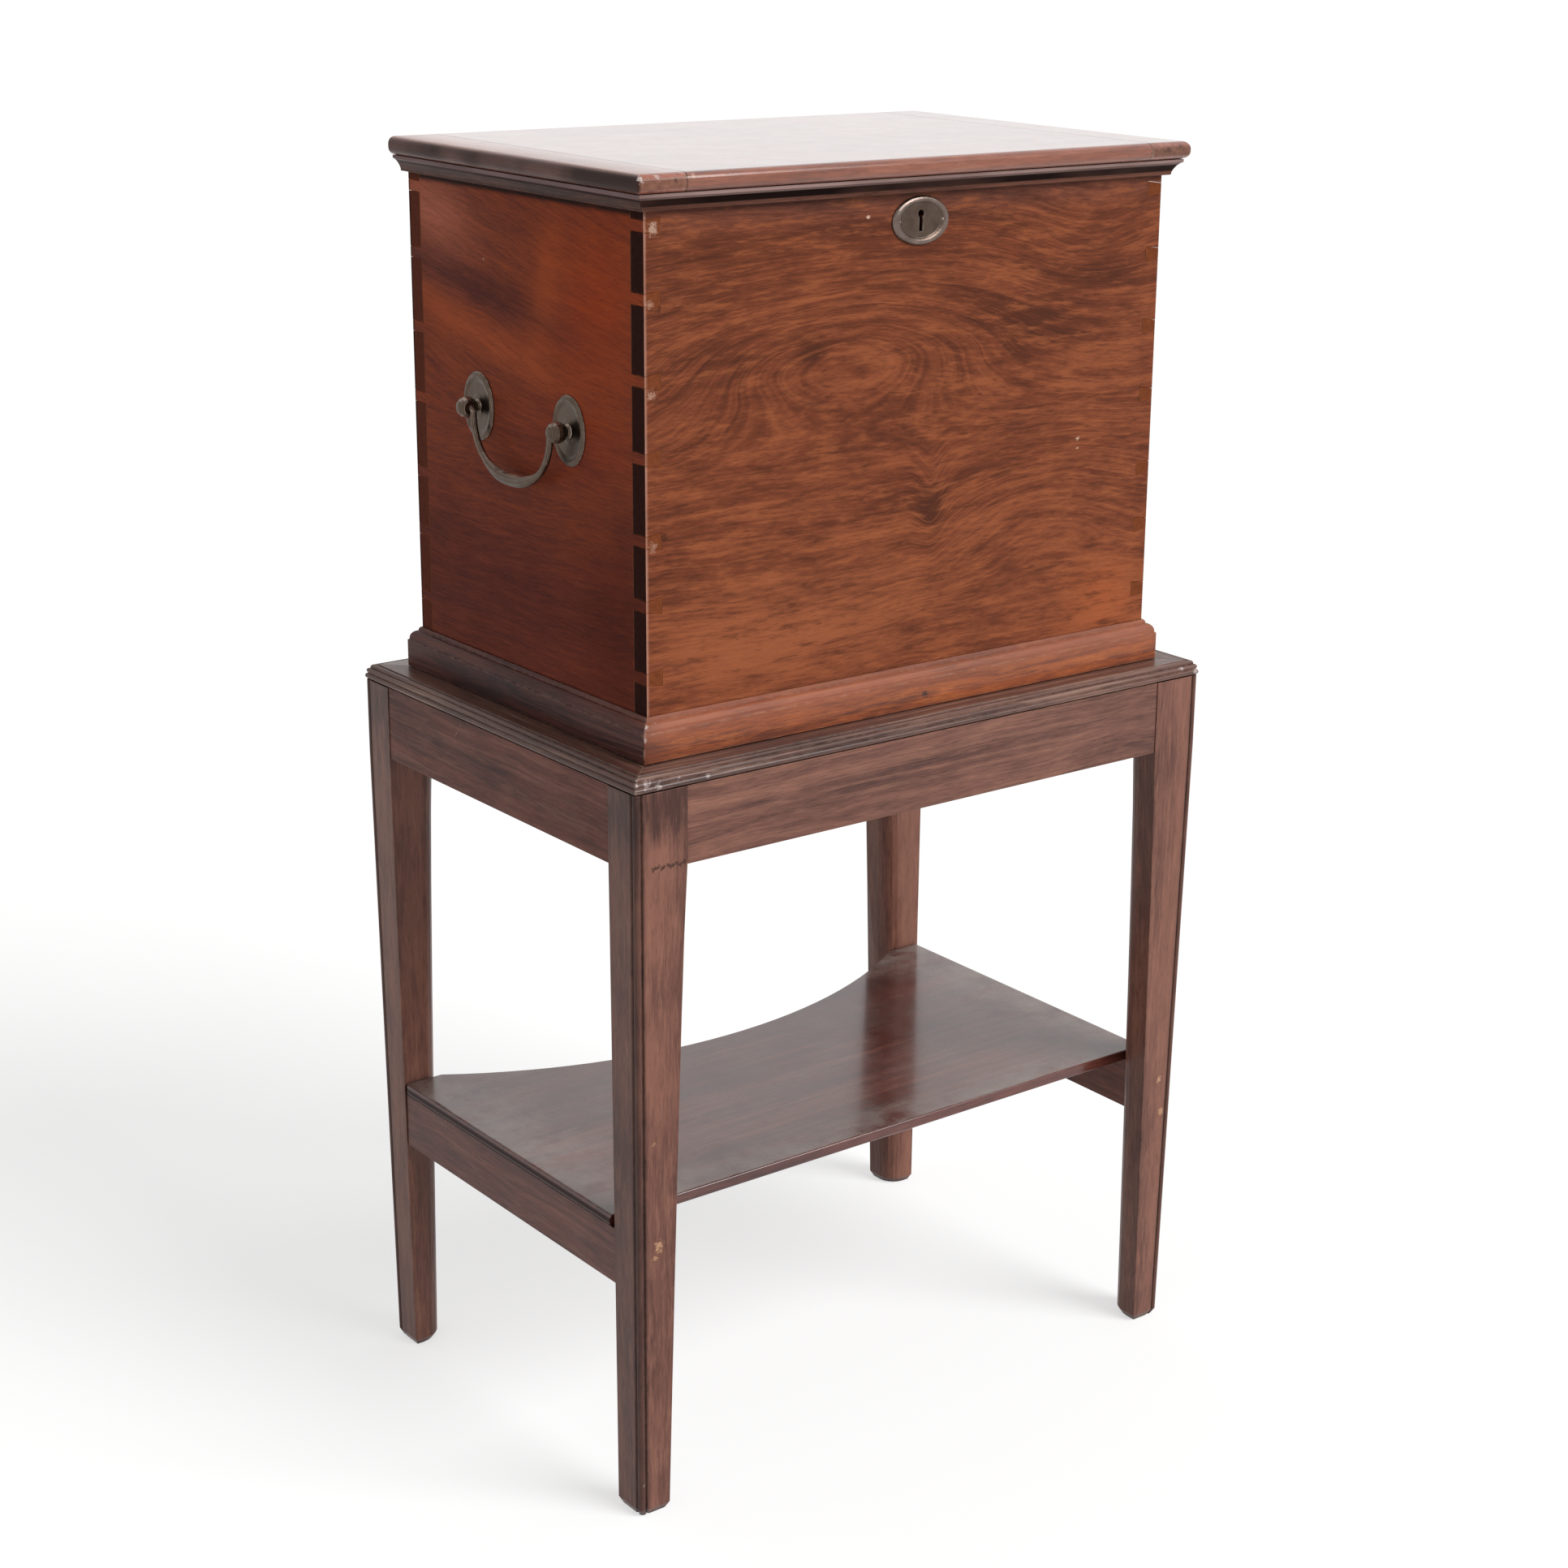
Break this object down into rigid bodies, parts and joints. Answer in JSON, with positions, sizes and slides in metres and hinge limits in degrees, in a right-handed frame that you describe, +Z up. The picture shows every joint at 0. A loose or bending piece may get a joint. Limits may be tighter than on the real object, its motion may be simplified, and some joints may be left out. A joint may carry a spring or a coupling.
{
  "type": "cellarette",
  "caption": "Lidded bottle chest with dovetailed corners and side bail handles, on a stand with tapered legs and a low shelf.",
  "frame": {"origin": "on the floor, under the middle of the stand", "axes": "+Z up, +X to the right along the front, -Y towards the front, where the lock is"},
  "size_m": [0.493, 0.339, 0.8957],
  "materials": {
    "front_mahogany": "polished",
    "side_mahogany": "polished",
    "plinth_mahogany": "polished",
    "stand_mahogany": "satin",
    "shelf_mahogany": "polished",
    "lid_mahogany": "polished",
    "inner_wood": "bare",
    "aged_brass": "aged",
    "lock_brass": "satin",
    "iron": "matte"
  },
  "bodies": {
    "chest_on_stand": {"case_front": "front_mahogany", "case_back": "side_mahogany", "case_left": "side_mahogany", "case_right": "side_mahogany", "plinth_front": "plinth_mahogany", "plinth_back": "plinth_mahogany", "plinth_left": "plinth_mahogany", "plinth_right": "plinth_mahogany", "leg_front_left": "stand_mahogany", "leg_front_right": "stand_mahogany", "leg_back_left": "stand_mahogany", "leg_back_right": "stand_mahogany", "apron_front": "stand_mahogany", "apron_back": "stand_mahogany", "apron_left": "stand_mahogany", "apron_right": "stand_mahogany", "rim_front": "stand_mahogany", "rim_back": "stand_mahogany", "rim_left": "stand_mahogany", "rim_right": "stand_mahogany", "stretcher_left": "stand_mahogany", "stretcher_right": "stand_mahogany", "shelf": "shelf_mahogany", "case_bottom": "inner_wood", "divider_long_1": "inner_wood", "divider_long_2": "inner_wood", "divider_cross_1": "inner_wood", "divider_cross_2": "inner_wood", "divider_cross_3": "inner_wood", "escutcheon": "aged_brass", "handle_left_plate_front": "aged_brass", "handle_left_plate_back": "aged_brass", "handle_left_post_front": "aged_brass", "handle_left_post_back": "aged_brass", "handle_right_plate_front": "aged_brass", "handle_right_plate_back": "aged_brass", "handle_right_post_front": "aged_brass", "handle_right_post_back": "aged_brass", "lock_case": "lock_brass", "hinge_left_case_leaf": "lock_brass", "hinge_right_case_leaf": "lock_brass", "hinge_left_pin": "iron", "hinge_right_pin": "iron", "handle_left_nut_front": "iron", "handle_left_nut_back": "iron", "handle_right_nut_front": "iron", "handle_right_nut_back": "iron"},
    "lid": {"lid_panel": "lid_mahogany", "lid_cleat_left": "lid_mahogany", "lid_cleat_right": "lid_mahogany", "lid_moulding_front": "lid_mahogany", "lid_moulding_left": "lid_mahogany", "lid_moulding_right": "lid_mahogany", "hinge_left_lid_leaf": "lock_brass", "hinge_right_lid_leaf": "lock_brass", "lock_link_plate": "lock_brass"},
    "bail_left": {"handle_left_bail": "aged_brass"},
    "bail_right": {"handle_right_bail": "aged_brass"},
    "bolt": {"lock_bolt": "iron"}
  },
  "joints": [
    {"name": "lid_hinge", "type": "hinge", "parent": "chest_on_stand", "child": "lid", "pos_m": [0, 0.1395, 0.88355], "axis": [-1, 0, 0], "range_deg": [0, 110]},
    {"name": "bail_left_swing", "type": "hinge", "parent": "chest_on_stand", "child": "bail_left", "pos_m": [-0.2258, 0, 0.7264], "axis": [0, 1, 0], "range_deg": [-7.5, 187.5]},
    {"name": "bail_right_swing", "type": "hinge", "parent": "chest_on_stand", "child": "bail_right", "pos_m": [0.2258, 0, 0.7264], "axis": [0, -1, 0], "range_deg": [-7.5, 187.5]},
    {"name": "bolt_slide", "type": "slide", "parent": "chest_on_stand", "child": "bolt", "axis": [1, 0, 0], "range_m": [0, 0.008]}
  ]
}
